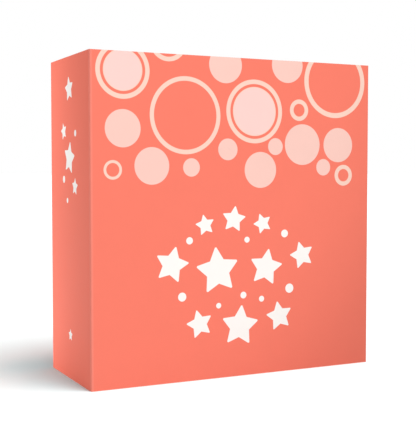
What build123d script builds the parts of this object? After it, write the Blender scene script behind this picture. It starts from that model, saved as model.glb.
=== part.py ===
from build123d import *
import math
import os

os.makedirs("parts", exist_ok=True)

# A baby tooth box shaped like a book. It stands on its tail edges with the spine
# at -X and the front cover facing -Y. All lengths are in millimetres.

# Closed box, outside
box_width = 157.0
box_depth = 62.0
box_height = 160.0

# Case: grey board panels wrapped in printed paper and lined
case_board = 2.0
cover_paper = 0.2
lining_paper = 0.2
turn_in = 15.0
lining_margin = 3.5
fold_radius = 0.8
edge_radius = 0.35
hinge_gap = 0.15
flap_end_gap = 0.5

# Tray glued to the back and the spine
tray_overhang = 2.0
tray_board = 2.0
tray_paper = 0.2
tray_gap = 0.3

# Magnets in the fore-edge wall and the steel discs in the flap that they hold
disc_diameter = 10.0
disc_thickness = 1.0
disc_fit = 0.1
disc_end_setback = 35.0
disc_setback = 13.0

# Padded lining that holds the teeth in their wells while the box stands up
pad_thickness = 8.0
pad_margin = 2.0
pad_corner = 5.0
pad_crown = 3.0
pad_gap = 0.5

# Wooden tooth tray
wood_thickness = 22.0
wood_fit = 0.4
wood_corner = 2.5
wood_edge = 1.0
well_diameter = 13.0
well_depth = 13.0
well_chamfer = 0.6
wells_per_arch = 10
well_side_margin = 17.05
well_end_margin = 14.2
arch_setback = 13.0
notch_radius = 10.0

# Jar hole in the lower arch, with a finger slot across it
jar_offset = 32.0
jar_hole_fit = 1.0
slot_length = 56.0
slot_width = 16.0
slot_depth = 14.0

# Compartment for a lock of hair in the upper arch
hair_width = 42.0
hair_height = 26.0
hair_corner = 6.0
hair_depth = 16.0
hair_offset = 32.0

# Foam bed under the tooth tray
foam_fit = 0.3
foam_corner = 1.5
foam_floor = 3.0
pocket_fit = 0.4

# Glass jar for the cord stump
jar_diameter = 28.0
jar_wall = 2.0
jar_base = 2.5
jar_shoulder_rise = 4.5
neck_diameter = 20.0
neck_wall = 2.2

# Screw cap and its foam liner
cap_headroom = 4.6
cap_fit = 0.5
cap_wall = 1.5
cap_top = 1.2
cap_skirt = 9.0
skirt_clearance = 1.5
cap_bevel = 0.8
cap_flutes = 18
flute_radius = 1.2
flute_bite = 0.5
liner_thickness = 0.8
liner_fit = 0.3
liner_gap = 0.1
liner_seat = 0.1

# Planes of the closed box
left = -box_width / 2
right = box_width / 2
front = -box_depth / 2
back = box_depth / 2
middle = box_height / 2

# A bare panel is board with paper on both sides. Covers that show inside carry a lining on top.
panel = cover_paper + case_board + cover_paper
lined_panel = panel + lining_paper

# Outside of the tray
tray_left = left + panel
tray_right = right - lined_panel - tray_gap
tray_tail = tray_overhang
tray_head = box_height - tray_overhang
tray_rim = front + lined_panel + tray_gap
tray_back = back - panel
tray_floor = tray_back - tray_board
tray_middle = (tray_left + tray_right) / 2

# How far in from the outside of the tray its layers lie
board_inset = tray_paper
wall_inset = tray_paper + tray_board
cavity_inset = wall_inset + tray_paper

# Layers inside the closed box, from the floor to the pad
lining_face = tray_floor - tray_paper
pad_back = front + lined_panel
pad_face = pad_back + pad_thickness
wood_face = pad_face + pad_gap
wood_back = wood_face + wood_thickness
jar_seat = lining_face - foam_floor

# Heights on the jar from its foot: it reaches up to the headroom that its cap needs under the pad
liner_stack = liner_gap + liner_thickness + liner_seat
jar_height = jar_seat - pad_face - cap_headroom - cap_top - liner_stack
cap_ceiling = jar_height + liner_stack
cap_bottom = cap_ceiling - cap_skirt
neck_start = cap_bottom - skirt_clearance
shoulder_start = neck_start - jar_shoulder_rise
cap_radius = neck_diameter / 2 + cap_fit + cap_wall

# Reach of the dental arches, up to the margins that the wells keep from the edges of the wood
arch_half_width = (tray_right - tray_left) / 2 - cavity_inset - wood_fit - well_side_margin
arch_rise = (tray_head - tray_tail) / 2 - cavity_inset - wood_fit - well_end_margin - arch_setback


def end_wedge(end):
    """Corner cut away at the start of a panel so that it mitres with its neighbour."""
    if end == "fold":
        points = [(0, fold_radius), (panel - fold_radius, panel), (0, panel)]
    elif end == "hinge":
        points = [(0, 0), (hinge_gap, 0), (hinge_gap + panel, panel), (0, panel)]
    else:
        points = [(0, 0), (panel, panel), (0, panel)]
    return make_face(Polyline(*points, close=True))


def end_radius(end):
    """Outside rounding of a panel's end."""
    return fold_radius if end == "fold" else edge_radius


def end_reach(end):
    """How far in from a panel's end its inner face starts."""
    return {"fold": panel - fold_radius, "hinge": panel + hinge_gap, "corner": panel, "free": 0}[end]


def panel_plan(width, start, finish):
    """Plan of a panel with its outer face on the X axis and its thickness towards +Y."""
    plan = Rectangle(width, panel, align=(Align.MIN, Align.MIN))
    for end, place in ((start, 0), (finish, width)):
        if end in ("fold", "free"):
            outer_corner = plan.vertices().sort_by_distance((place, 0, 0))[0]
            plan = fillet(outer_corner, end_radius(end))
    if start != "free":
        plan -= end_wedge(start)
    if finish != "free":
        plan -= Pos(width, 0) * mirror(end_wedge(finish), Plane.YZ)
    return plan


def board_plan(width, start, finish):
    """Plan of the grey board inside a panel, bare where the panel is mitred."""
    first = cover_paper if start in ("fold", "free") else 0
    last = width - (cover_paper if finish in ("fold", "free") else 0)
    plan = Rectangle(last - first, case_board, align=(Align.MIN, Align.MIN))
    for end, place in ((start, 0), (finish, last - first)):
        radius = end_radius(end) - cover_paper
        if end in ("fold", "free") and radius > 0:
            outer_corner = plan.vertices().sort_by_distance((place, 0, 0))[0]
            plan = fillet(outer_corner, radius)
    return panel_plan(width, start, finish) & Pos(first, cover_paper) * plan


def upright(plan, low, high):
    """A plan raised from one height to another."""
    return Pos(0, 0, low) * extrude(plan, amount=high - low)


def inner_window(width, start, finish, depth):
    """The area of a panel's inner face that the turned-in paper leaves bare."""
    first = turn_in if start == "free" else 0
    last = width - (turn_in if finish == "free" else 0)
    place = Pos(first, panel - depth, turn_in)
    size = (last - first, depth, box_height - 2 * turn_in)
    return place * Box(*size, align=(Align.MIN, Align.MIN, Align.MIN))


def panel_layers(width, start, finish):
    """Board, wrap and flush lining of one panel, flat in its own frame."""
    whole = upright(panel_plan(width, start, finish), 0, box_height)
    core = upright(board_plan(width, start, finish), cover_paper, box_height - cover_paper)
    window = inner_window(width, start, finish, cover_paper)
    wrap = whole - core - window
    lining = whole & window
    return core, wrap, lining


def raised_lining(width, start, finish, lining):
    """A flush lining with the margin that covers the edges of the turned-in paper."""
    first = end_reach(start) + lining_margin
    last = width - end_reach(finish) - lining_margin
    size = (last - first, lining_paper, box_height - 2 * lining_margin)
    place = Pos(first, panel, lining_margin)
    return lining + place * Box(*size, align=(Align.MIN, Align.MIN, Align.MIN))


def front_panel():
    """Front cover: it starts at the spine hinge and carries the fold of the flap."""
    place = Pos(left + fold_radius, front, 0)
    width = box_width - fold_radius
    core, wrap, lining = panel_layers(width, "hinge", "fold")
    lining = raised_lining(width, "hinge", "fold", lining)
    return place * core, place * wrap, place * lining


def flap_panel():
    """Closing flap over the fore edge, with pockets for the steel discs in its board."""
    place = Pos(right, front + fold_radius, 0) * Rot(0, 0, 90)
    width = box_depth - fold_radius - panel - flap_end_gap
    core, wrap, lining = panel_layers(width, "hinge", "free")
    lining = raised_lining(width, "hinge", "free", lining)
    pockets = disc_pair(right - panel + cover_paper, disc_diameter + 2 * disc_fit)
    return place * core - pockets, place * wrap, place * lining


def back_panel():
    """Back of the case, glued to the spine along the corner."""
    place = Pos(right, back, 0) * Rot(0, 0, 180)
    width = box_width - fold_radius
    return [place * layer for layer in panel_layers(width, "free", "corner")]


def spine_panel():
    """Spine, with the rounded folds of both corners."""
    place = Pos(left, back, 0) * Rot(0, 0, -90)
    return [place * layer for layer in panel_layers(box_depth, "fold", "fold")]


def disc_pair(inner_face, diameter):
    """Two discs side by side on the fore edge, from their inner face towards +X."""
    across = back - panel - flap_end_gap - disc_setback
    disc = Rot(0, 90, 0) * Cylinder(diameter / 2, disc_thickness, align=(Align.CENTER, Align.CENTER, Align.MIN))
    pair = [Pos(inner_face, across, up) * disc for up in (disc_end_setback, box_height - disc_end_setback)]
    return Compound(pair)


def tray_block(inset, near, far):
    """The tray's outline drawn in by an inset, between two depths of the box."""
    width = tray_right - tray_left - 2 * inset
    height = tray_head - tray_tail - 2 * inset
    place = Pos(tray_middle, near, middle)
    return place * Box(width, far - near, height, align=(Align.CENTER, Align.MIN, Align.CENTER))


def tray_side(width, height, place):
    """One wall board, standing on the base board and reaching to the wrapped rim."""
    depth = tray_floor - tray_rim - tray_paper
    return place * Box(width, depth, height, align=(Align.CENTER, Align.MIN, Align.CENTER))


def tray_walls():
    """Head and tail walls along the full width, with the two side walls between them."""
    full_width = tray_right - tray_left - 2 * board_inset
    inner_height = tray_head - tray_tail - 2 * wall_inset
    edge = tray_rim + tray_paper
    board_middle = tray_paper + tray_board / 2
    walls = {
        "tray_head_wall": tray_side(full_width, tray_board, Pos(tray_middle, edge, tray_head - board_middle)),
        "tray_tail_wall": tray_side(full_width, tray_board, Pos(tray_middle, edge, tray_tail + board_middle)),
        "tray_spine_wall": tray_side(tray_board, inner_height, Pos(tray_left + board_middle, edge, middle)),
        "tray_fore_edge_wall": tray_side(tray_board, inner_height, Pos(tray_right - board_middle, edge, middle)),
    }
    walls["tray_fore_edge_wall"] -= disc_pair(magnet_face(), disc_diameter + 2 * disc_fit)
    return walls


def magnet_face():
    """Inner face of the magnets, which lie flush in the outside of the fore-edge wall."""
    return tray_right - tray_paper - disc_thickness


def tray_wrap():
    """Paper over the outside of the walls, over the rim and down the inside to the floor."""
    whole = tray_block(0, tray_rim, tray_back) - tray_block(cavity_inset, tray_rim, tray_floor)
    walls = tray_block(board_inset, tray_rim + tray_paper, tray_floor)
    walls -= tray_block(wall_inset, tray_rim + tray_paper, tray_floor)
    return whole - walls - tray_block(board_inset, tray_floor, tray_back)


def lying(depth):
    """Frame of what lies in the tray: its Z axis points out of the tray, towards -Y."""
    return Pos(tray_middle, depth, middle) * Rot(90, 0, 0)


def cavity_outline(fit, corner):
    """Outline of a block that fits the tray's cavity."""
    width = tray_right - tray_left - 2 * (cavity_inset + fit)
    height = tray_head - tray_tail - 2 * (cavity_inset + fit)
    return RectangleRounded(width, height, corner)


def foam_bed():
    """Foam block under the tooth tray, with a round pocket for the jar."""
    block = extrude(cavity_outline(foam_fit, foam_corner), amount=lining_face - wood_back)
    pocket = extrude(Circle(jar_diameter / 2 + pocket_fit), amount=jar_seat - wood_back)
    return lying(lining_face) * (block - Pos(0, -jar_offset, foam_floor) * pocket)


def well_centres():
    """Centres of the wells: the milk teeth of each jaw follow half an ellipse."""
    centres = []
    for jaw in (1, -1):
        for well in range(wells_per_arch):
            angle = math.pi * well / (wells_per_arch - 1)
            across = arch_half_width * math.cos(angle)
            up = jaw * (arch_setback + arch_rise * math.sin(angle))
            centres.append((across, up))
    return centres


def well_cutter():
    """Flat-bottomed well with a chamfered mouth, its mouth at height zero."""
    radius = well_diameter / 2
    mouth = radius + well_chamfer
    points = [(0, 0), (mouth, 0), (radius, -well_chamfer), (radius, -well_depth), (0, -well_depth)]
    half = make_face(Polyline(*points, close=True))
    return revolve(Plane.XZ * half, Axis.Z)


def hair_compartment():
    """Round-cornered pocket for the lock of hair, cut down from the face of the tray."""
    pocket = extrude(RectangleRounded(hair_width, hair_height, hair_corner), amount=hair_depth)
    return Pos(0, hair_offset, wood_thickness - hair_depth) * pocket


def jar_cutters():
    """Through hole for the jar and the finger slot that crosses it."""
    hole = extrude(Circle(jar_diameter / 2 + jar_hole_fit), amount=wood_thickness)
    slot = extrude(SlotOverall(slot_length, slot_width), amount=slot_depth)
    return [Pos(0, -jar_offset, 0) * hole, Pos(0, -jar_offset, wood_thickness - slot_depth) * slot]


def tooth_tray():
    """Wooden block with a well for each of the twenty milk teeth, set out as two dental arches."""
    outline = cavity_outline(wood_fit, wood_corner)
    half_width = outline.bounding_box().max.X
    for side in (-1, 1):
        outline -= Pos(side * half_width, 0) * Circle(notch_radius)
    block = extrude(outline, amount=wood_thickness)
    top_edges = block.faces().sort_by(Axis.Z)[-1].outer_wire().edges()
    block = chamfer(top_edges, wood_edge)
    cutters = [Pos(x, y, wood_thickness) * well_cutter() for x, y in well_centres()]
    cutters += jar_cutters()
    cutters.append(hair_compartment())
    return lying(wood_back) * (block - cutters)


def lid_pad():
    """Foam pad on the front cover, with rounded corners and a soft crown round its face."""
    width = tray_right - tray_left - 2 * (cavity_inset + pad_margin)
    height = tray_head - tray_tail - 2 * (cavity_inset + pad_margin)
    pad = extrude(RectangleRounded(width, height, pad_corner), amount=pad_thickness)
    back_face_edges = pad.faces().sort_by(Axis.Z)[0].edges()
    return lying(pad_face) * fillet(back_face_edges, pad_crown)


def jar_place():
    """Frame of the jar: its Z axis is the jar's own, from its foot towards -Y."""
    return lying(jar_seat) * Pos(0, -jar_offset, 0)


def glass_jar():
    """Round glass jar with a conical shoulder, standing on the floor of its foam pocket."""
    outer = jar_diameter / 2
    inner = outer - jar_wall
    neck = neck_diameter / 2
    mouth = neck - neck_wall
    points = [
        (0, 0),
        (outer, 0),
        (outer, shoulder_start),
        (neck, neck_start),
        (neck, jar_height),
        (mouth, jar_height),
        (mouth, neck_start),
        (inner, shoulder_start),
        (inner, jar_base),
        (0, jar_base),
    ]
    half = make_face(Polyline(*points, close=True))
    return jar_place() * revolve(Plane.XZ * half, Axis.Z)


def cap_liner():
    """Foam disc in the top of the cap, which seals on the jar's rim."""
    radius = cap_radius - cap_wall - liner_fit
    disc = extrude(Circle(radius), amount=liner_thickness)
    return jar_place() * Pos(0, 0, jar_height + liner_gap) * disc


def screw_cap():
    """Aluminium screw cap with a fluted skirt."""
    outer = cap_radius
    inner = outer - cap_wall
    top = cap_ceiling + cap_top
    points = [
        (0, top),
        (outer - cap_bevel, top),
        (outer, top - cap_bevel),
        (outer, cap_bottom),
        (inner, cap_bottom),
        (inner, cap_ceiling),
        (0, cap_ceiling),
    ]
    cap = revolve(Plane.XZ * make_face(Polyline(*points, close=True)), Axis.Z)
    flute = extrude(Circle(flute_radius), amount=cap_skirt)
    ring = outer + flute_radius - flute_bite
    cap -= [
        Rot(0, 0, 360 * turn / cap_flutes) * Pos(ring, 0, cap_bottom) * flute
        for turn in range(cap_flutes)
    ]
    return jar_place() * cap


def all_parts():
    """Every physical piece of the box under its own name."""
    nodes = {}
    for name, layers in (
        ("front", front_panel()),
        ("spine", spine_panel()),
        ("back", back_panel()),
        ("flap", flap_panel()),
    ):
        nodes[name + "_board"], nodes[name + "_wrap"], nodes[name + "_lining"] = layers
    nodes.update(tray_walls())
    nodes["tray_base_board"] = tray_block(board_inset, tray_floor, tray_back)
    nodes["tray_wrap"] = tray_wrap()
    nodes["tray_lining"] = tray_block(cavity_inset, lining_face, tray_floor)
    nodes["wall_magnets"] = disc_pair(magnet_face(), disc_diameter)
    nodes["flap_steel_discs"] = disc_pair(right - panel + cover_paper, disc_diameter)
    nodes["foam_bed"] = foam_bed()
    nodes["tooth_tray"] = tooth_tray()
    nodes["lid_pad"] = lid_pad()
    nodes["keepsake_jar"] = glass_jar()
    nodes["jar_cap"] = screw_cap()
    nodes["cap_liner"] = cap_liner()
    return nodes


for node, solid in all_parts().items():
    export_step(solid, os.path.join("parts", node + ".step"))
    print(node, round(solid.volume, 1))
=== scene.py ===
import math

import bmesh
import bpy
from bpy.props import FloatProperty, FloatVectorProperty, PointerProperty
from mathutils import Matrix, Vector
from mathutils.bvhtree import BVHTree


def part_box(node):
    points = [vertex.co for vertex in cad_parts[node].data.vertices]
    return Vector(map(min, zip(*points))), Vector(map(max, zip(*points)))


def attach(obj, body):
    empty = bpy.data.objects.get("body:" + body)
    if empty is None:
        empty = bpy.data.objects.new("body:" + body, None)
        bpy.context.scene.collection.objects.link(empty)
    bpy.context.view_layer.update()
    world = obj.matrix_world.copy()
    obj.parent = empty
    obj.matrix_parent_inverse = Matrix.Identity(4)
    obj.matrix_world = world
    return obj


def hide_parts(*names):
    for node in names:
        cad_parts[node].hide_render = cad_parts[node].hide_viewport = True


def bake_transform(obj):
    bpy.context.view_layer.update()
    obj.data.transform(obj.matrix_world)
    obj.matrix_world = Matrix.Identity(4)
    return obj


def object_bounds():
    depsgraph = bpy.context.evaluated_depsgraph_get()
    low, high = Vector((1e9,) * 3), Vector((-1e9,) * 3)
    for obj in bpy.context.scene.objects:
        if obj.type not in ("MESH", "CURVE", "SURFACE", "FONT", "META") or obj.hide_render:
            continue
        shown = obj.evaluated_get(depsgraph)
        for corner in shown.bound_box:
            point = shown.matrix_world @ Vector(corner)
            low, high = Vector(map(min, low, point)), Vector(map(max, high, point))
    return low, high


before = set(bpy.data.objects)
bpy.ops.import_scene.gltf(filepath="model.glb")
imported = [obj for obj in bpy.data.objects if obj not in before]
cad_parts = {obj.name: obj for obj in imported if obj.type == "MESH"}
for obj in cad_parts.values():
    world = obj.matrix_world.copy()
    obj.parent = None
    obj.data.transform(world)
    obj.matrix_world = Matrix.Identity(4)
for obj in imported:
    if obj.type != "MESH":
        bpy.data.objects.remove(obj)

bl_info = {
    "name": "Baby tooth box",
    "version": (1, 0, 0),
    "blender": (4, 5, 0),
    "location": "3D View > Sidebar > Tooth box",
    "description": "Dresses a book-shaped baby tooth box: printed paper, boards, pad, wooden tray and jar",
    "category": "Object",
}

# A millimetre, and how near each other points are merged
MM = 0.001
MERGE = 0.001 * MM

# Bodies of the model that pieces ride on
CASE, COVER, FLAP, SEAL = "case", "front_cover", "closing_flap", "cap_seal"

CAD_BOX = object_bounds()
LEFT, FRONT, TAIL = CAD_BOX[0]
RIGHT, BACK, HEAD = CAD_BOX[1]
MIDDLE = (TAIL + HEAD) / 2

# Fold beside the spine, thickness of a panel, slit at a hinge and corner of the pad
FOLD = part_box("front_wrap")[0].x - LEFT
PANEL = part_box("back_wrap")[1].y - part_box("back_wrap")[0].y
HINGE_GAP = 0.15 * MM
PAD_CORNER = 5.0 * MM

# Printed bubbles: kind, place across and up the front cover, and radius, in millimetres
BUBBLES = (
    ("ringed", -62.0, 151.2, 13.6),
    ("ring", -38.7, 166.2, 9.9),
    ("ring", -29.5, 130.7, 18.9),
    ("disc", -7.7, 156.2, 9.1),
    ("disc", 27.8, 157.8, 9.1),
    ("broad ring", 56.8, 150.3, 18.8),
    ("ringed", 8.7, 133.6, 16.0),
    ("ring", 34.9, 135.0, 5.5),
    ("disc", -62.1, 123.8, 9.0),
    ("disc", -47.3, 106.1, 9.0),
    ("fine ring", -67.2, 104.2, 4.6),
    ("disc", -26.4, 105.4, 4.5),
    ("disc", -6.4, 114.4, 5.4),
    ("disc", 12.2, 104.2, 9.1),
    ("disc", 20.9, 116.1, 4.3),
    ("disc", 37.0, 117.3, 10.5),
    ("disc", 59.0, 117.3, 9.0),
    ("disc", 49.9, 105.6, 4.3),
    ("ring", 62.5, 101.4, 5.5),
)
RING_WIDTH = {"ring": 2.2, "broad ring": 2.6, "fine ring": 1.35, "ringed": 2.25}
RINGED_GAP = 1.45
RINGED_RIM = 1.0

# White stars printed below the bubbles: place across and up, radius, turn in degrees
COVER_STARS = (
    (-19.0, 77.0, 5.5, 12.0),
    (-3.0, 79.5, 7.0, -8.0),
    (13.5, 77.0, 5.5, 20.0),
    (-37.0, 58.0, 9.5, -14.0),
    (-12.0, 54.0, 12.5, 6.0),
    (15.5, 54.5, 10.0, -10.0),
    (37.0, 60.0, 7.5, 16.0),
    (-22.0, 28.0, 7.5, 14.0),
    (0.5, 25.5, 11.0, -6.0),
    (23.5, 29.0, 8.0, 10.0),
)
COVER_SPECKS = (
    (-27.5, 69.5, 1.8),
    (4.5, 69.0, 1.5),
    (26.5, 71.5, 2.0),
    (-31.5, 42.0, 2.2),
    (2.5, 41.0, 1.7),
    (29.5, 43.0, 2.4),
    (-11.5, 36.5, 1.4),
    (13.0, 38.5, 1.5),
)

# The same small print on the spine: place in depth and up, radius, turn
SPINE_STARS = (
    (0.0, 144.0, 6.5, 8.0),
    (0.0, 110.0, 8.5, -10.0),
    (-9.0, 123.5, 4.5, 14.0),
    (8.5, 96.0, 4.5, -6.0),
    (0.0, 22.0, 3.2, 0.0),
)
SPINE_SPECKS = (
    (9.5, 122.0, 1.6),
    (-9.0, 99.5, 1.8),
    (-3.5, 89.0, 1.3),
)


def colour_choice(name, description, default):
    """A colour that the user can change."""
    return FloatVectorProperty(
        name=name, description=description, subtype="COLOR", size=3, min=0, max=1, default=default
    )


class ToothBoxPrint(bpy.types.PropertyGroup):
    """Colours of the printed paper"""

    coral: colour_choice("Coral", "Ground colour of the cover paper", (0.77, 0.178, 0.123))
    pale: colour_choice("Pale", "Printed discs", (0.775, 0.496, 0.434))
    cream: colour_choice("Cream", "Printed rings", (0.78, 0.535, 0.446))
    blush: colour_choice("Blush", "Discs inside the printed rings", (0.78, 0.534, 0.495))
    white: colour_choice("White", "Printed stars", (0.80, 0.78, 0.75))
    # Strength of the lighter worn edges and of the painted highlight along the spine fold
    rub: FloatProperty(
        name="Rubbed edges", description="How much lighter the paper is where it is folded",
        subtype="FACTOR", min=0, max=1, default=0.1,
    )


class ToothBoxInside(bpy.types.PropertyGroup):
    """Colours and sizes of what the box holds"""

    lining: colour_choice("Lining", "Dotted lining paper of the covers", (0.74, 0.60, 0.52))
    tray_paper: colour_choice("Tray paper", "Linen-embossed paper of the tray", (0.76, 0.69, 0.61))
    pad_cloth: colour_choice("Pad cloth", "Quilted cotton sateen of the pad", (0.78, 0.56, 0.50))
    light_wood: colour_choice("Light wood", "Early wood of the tooth tray", (0.66, 0.44, 0.25))
    dark_wood: colour_choice("Dark wood", "Late wood and pores of the tooth tray", (0.47, 0.27, 0.13))
    number_height: FloatProperty(
        name="Number height", description="Height of the numbers beside the wells",
        unit="LENGTH", min=1 * MM, max=8 * MM, default=4 * MM,
    )
    quilt_pitch: FloatProperty(
        name="Quilt pitch", description="Distance between the sewn channels of the pad",
        unit="LENGTH", min=8 * MM, max=60 * MM, default=24 * MM,
    )
    quilt_depth: FloatProperty(
        name="Quilt depth", description="How deep the sewn channels draw the pad in",
        unit="LENGTH", min=0, max=4 * MM, default=1.8 * MM,
    )


class ToothBoxStage(bpy.types.PropertyGroup):
    """Camera, floor and lights"""

    camera_place: FloatVectorProperty(
        name="Camera place", description="Where the camera stands", subtype="TRANSLATION", size=3,
        unit="LENGTH", default=(-0.2191, -0.4430, 0.1039),
    )
    camera_turn: FloatProperty(
        name="Camera turn", description="Turn of the view from straight on towards the spine",
        subtype="ANGLE", default=math.radians(26.08),
    )
    camera_drop: FloatProperty(
        name="Camera drop", description="How far below level the camera looks",
        subtype="ANGLE", default=math.radians(2.71),
    )
    lens: FloatProperty(
        name="Lens", description="Focal length on a 36 mm sensor", unit="CAMERA",
        min=10, max=300, default=77.98,
    )
    floor_radius: FloatProperty(
        name="Floor radius", description="Radius of the pale floor", unit="LENGTH",
        min=1, max=60, default=25,
    )
    daylight: FloatProperty(
        name="Daylight", description="Strength of the even white surroundings",
        min=0, max=4, default=0.2,
    )
    shadow_light: FloatProperty(
        name="Shadow light", description="Strength of the soft light that casts the shadow",
        min=0, max=20, default=2.85,
    )
    floor_light: FloatProperty(
        name="Floor light", description="Strength of the light that only the floor receives",
        min=0, max=20, default=1.05,
    )


def settings():
    """The three groups of sizes and colours."""
    scene = bpy.context.scene
    return scene.tooth_box_print, scene.tooth_box_inside, scene.tooth_box_stage


def rgba(colour):
    return (*colour, 1.0)


# Shader trees

def put(tree, kind, inputs=None, **values):
    """Add a shader node, set its options and fill or link its inputs."""
    made = tree.nodes.new(kind)
    for name, value in values.items():
        setattr(made, name, value)
    feed(tree, made, inputs or {})
    return made


def feed(tree, made, inputs):
    """Fill or link the inputs of a node, by name or by number."""
    for key, value in inputs.items():
        if isinstance(value, bpy.types.NodeSocket):
            tree.links.new(value, made.inputs[key])
        else:
            made.inputs[key].default_value = value


def calc(tree, operation, *terms, clamp=False):
    """One step of arithmetic on numbers."""
    made = put(tree, "ShaderNodeMath", dict(enumerate(terms)), operation=operation, use_clamp=clamp)
    return made.outputs[0]


def move(tree, operation, *terms):
    """One step of arithmetic on vectors."""
    made = put(tree, "ShaderNodeVectorMath", dict(enumerate(terms)), operation=operation)
    return made.outputs["Value" if operation in ("LENGTH", "DOT_PRODUCT", "DISTANCE") else "Vector"]


def mix(tree, share, first, second, blend_type="MIX"):
    """Blend two colours."""
    made = put(
        tree, "ShaderNodeMix", {0: share, 6: first, 7: second}, data_type="RGBA", blend_type=blend_type
    )
    return made.outputs[2]


def split(tree, vector):
    """The three numbers of a vector."""
    return put(tree, "ShaderNodeSeparateXYZ", {0: vector}).outputs


def join(tree, *numbers):
    """A vector from numbers."""
    return put(tree, "ShaderNodeCombineXYZ", dict(enumerate(numbers))).outputs[0]


def shaded(tree, colour, tone):
    """A colour made lighter or darker by a number."""
    return mix(tree, 1.0, colour, join(tree, tone, tone, tone), "MULTIPLY")


def noise(tree, vector, scale, detail=2.0, roughness=0.5):
    """Value of a noise pattern."""
    inputs = {"Vector": vector, "Scale": scale, "Detail": detail, "Roughness": roughness}
    return put(tree, "ShaderNodeTexNoise", inputs).outputs["Fac"]


def ramp(tree, value, low, high, start=0.0, end=1.0):
    """Map a stretch of values onto another and hold its ends."""
    inputs = {"Value": value, "From Min": low, "From Max": high, "To Min": start, "To Max": end}
    return put(tree, "ShaderNodeMapRange", inputs, interpolation_type="SMOOTHSTEP").outputs[0]


# What a socket carries goes by its label, and is a number otherwise
VECTORS = ("Place", "Centre", "Middle", "Half size")
COLOURS = ("Colour", "Light", "Dark")


def new_group(name, inputs, outputs):
    """An empty node group with labelled sockets: its tree, what comes in and what goes out."""
    tree = bpy.data.node_groups.new(name, "ShaderNodeTree")
    for in_out, labels in (("INPUT", inputs), ("OUTPUT", outputs)):
        for label in labels:
            kind = "Vector" if label in VECTORS else "Color" if label in COLOURS else "Float"
            tree.interface.new_socket(name=label, in_out=in_out, socket_type="NodeSocket" + kind)
    start = tree.nodes.new("NodeGroupInput")
    end = tree.nodes.new("NodeGroupOutput")
    return tree, start.outputs, end


def print_edge(tree, inside):
    """1 inside a printed shape and 0 outside, from the distance inside its slightly soft edge."""
    softness = 0.12
    return calc(tree, "MULTIPLY_ADD", inside, 1 / softness, 0.5, clamp=True)


def printed_ring_group():
    """Mask of a printed ring. A ring wider than its radius is a full disc."""
    tree, given, end = new_group("Printed ring", ("Place", "Centre", "Radius", "Width"), ("Mask",))
    reach = move(tree, "LENGTH", move(tree, "SUBTRACT", given["Place"], given["Centre"]))
    inside = calc(tree, "SUBTRACT", given["Radius"], reach)
    outer = print_edge(tree, inside)
    inner = print_edge(tree, calc(tree, "SUBTRACT", given["Width"], inside))
    feed(tree, end, {"Mask": calc(tree, "MULTIPLY", outer, inner)})
    return tree


def printed_star_group():
    """Mask of a five-pointed star with plump arms and blunt tips."""
    valley_share, tip_share, sector = 0.52, 0.94, 2 * math.pi / 5
    tree, given, end = new_group("Printed star", ("Place", "Centre", "Radius", "Turn"), ("Mask",))
    across, up, _ = split(tree, move(tree, "SUBTRACT", given["Place"], given["Centre"]))
    angle = calc(tree, "ADD", calc(tree, "ARCTAN2", across, up), given["Turn"])
    folded = calc(tree, "PINGPONG", angle, sector / 2)
    reach = move(tree, "LENGTH", join(tree, across, up, 0.0))
    along = calc(tree, "MULTIPLY", reach, calc(tree, "COSINE", folded))
    aside = calc(tree, "MULTIPLY", reach, calc(tree, "SINE", folded))
    valley = Vector((valley_share * math.cos(sector / 2), valley_share * math.sin(sector / 2)))
    edge = (valley - Vector((1, 0))).normalized()
    from_tip = calc(tree, "SUBTRACT", along, given["Radius"])
    inside = calc(tree, "MULTIPLY_ADD", aside, edge.x, calc(tree, "MULTIPLY", from_tip, -edge.y))
    blunt = calc(tree, "SUBTRACT", calc(tree, "MULTIPLY", given["Radius"], tip_share), reach)
    mask = calc(tree, "MULTIPLY", print_edge(tree, inside), print_edge(tree, blunt))
    feed(tree, end, {"Mask": mask})
    return tree


def paper_surface_group():
    """Fibres of coated paper: a faint mottle in the colour, the gloss and the height."""
    cloud_shade, fibre_shade, ground_shade = 0.035, 0.03, 0.965
    cloud_gloss, ground_gloss = 0.12, 0.40
    drawn_up = (1.0, 1.0, 0.35)
    tree, given, end = new_group("Paper surface", ("Place", "Colour"), ("Colour", "Roughness", "Height"))
    cloud = noise(tree, given["Place"], scale=0.09, detail=3.0)
    stretched = move(tree, "MULTIPLY", given["Place"], drawn_up)
    fibres = noise(tree, stretched, scale=2.6, detail=4.0, roughness=0.6)
    clouded = calc(tree, "MULTIPLY", cloud, cloud_shade)
    tone = calc(tree, "ADD", calc(tree, "MULTIPLY_ADD", fibres, fibre_shade, clouded), ground_shade)
    gloss = calc(tree, "MULTIPLY_ADD", cloud, cloud_gloss, ground_gloss)
    toned = shaded(tree, given["Colour"], tone)
    feed(tree, end, {"Colour": toned, "Roughness": gloss, "Height": fibres})
    return tree


def rubbed_edge_group():
    """Mask along the edges of a box, broken up as handling wears them."""
    tree, given, end = new_group("Rubbed edge", ("Place", "Middle", "Half size", "Reach"), ("Mask",))
    offset = move(tree, "ABSOLUTE", move(tree, "SUBTRACT", given["Place"], given["Middle"]))
    x, y, z = split(tree, move(tree, "SUBTRACT", offset, given["Half size"]))
    pairs = [calc(tree, "MAXIMUM", a, b) for a, b in ((x, y), (y, z), (x, z))]
    second = calc(tree, "MINIMUM", calc(tree, "MINIMUM", pairs[0], pairs[1]), pairs[2])
    near = calc(tree, "ADD", calc(tree, "DIVIDE", second, given["Reach"]), 1.0, clamp=True)
    patches = noise(tree, given["Place"], scale=0.7, detail=4.0, roughness=0.65)
    broken = ramp(tree, patches, low=0.35, high=0.65, start=0.35)
    feed(tree, end, {"Mask": calc(tree, "MULTIPLY", near, broken)})
    return tree


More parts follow.
